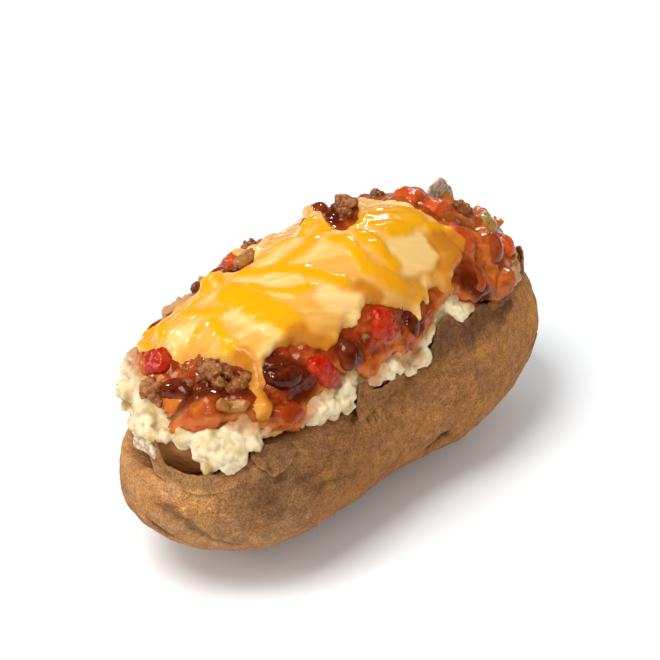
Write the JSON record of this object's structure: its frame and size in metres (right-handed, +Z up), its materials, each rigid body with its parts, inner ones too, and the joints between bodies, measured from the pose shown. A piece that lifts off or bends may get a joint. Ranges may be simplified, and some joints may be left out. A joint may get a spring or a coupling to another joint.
{
  "type": "baked potato",
  "caption": "Whole baked russet potato split along the top, heaped with its fluffed flesh, bean and meat chilli and melted cheese.",
  "frame": {"origin": "on the small flat resting spot under the middle of the potato, in the plane it stands on", "axes": "+Z up; +X along the potato's length, towards the end with the torn skin tip; -Y towards the side where more flesh shows over the skin"},
  "size_m": [0.15, 0.076, 0.0811],
  "materials": {
    "russet_skin": "matt, finely speckled baked russet skin",
    "cooked_flesh": "crumbly fluffed potato flesh",
    "chilli_sauce": "glossy thick tomato and chilli sauce",
    "melted_cheese": "smooth melted shredded cheese",
    "kidney_bean": "glossy dark red cooked bean skin",
    "stewed_tomato": "wet stewed tomato",
    "minced_beef": "browned knobbly minced meat in sauce",
    "fried_onion": "soft fried onion",
    "green_pepper": "cooked green pepper"
  },
  "bodies": {
    "root": {"potato_jacket": "russet_skin", "fluffed_flesh": "cooked_flesh", "chilli_sauce": "chilli_sauce", "melted_cheese": "melted_cheese", "bean_1": "kidney_bean", "bean_2": "kidney_bean", "bean_3": "kidney_bean", "bean_4": "kidney_bean", "bean_5": "kidney_bean", "bean_6": "kidney_bean", "bean_7": "kidney_bean", "bean_8": "kidney_bean", "bean_9": "kidney_bean", "bean_10": "kidney_bean", "bean_11": "kidney_bean", "tomato_1": "stewed_tomato", "tomato_2": "stewed_tomato", "tomato_3": "stewed_tomato", "tomato_4": "stewed_tomato", "tomato_5": "stewed_tomato", "tomato_6": "stewed_tomato", "tomato_7": "stewed_tomato", "tomato_8": "stewed_tomato", "tomato_9": "stewed_tomato", "mince_1": "minced_beef", "mince_2": "minced_beef", "mince_3": "minced_beef", "mince_4": "minced_beef", "mince_5": "minced_beef", "mince_6": "minced_beef", "onion_1": "fried_onion", "onion_2": "fried_onion", "pepper_1": "green_pepper"}
  },
  "joints": []
}
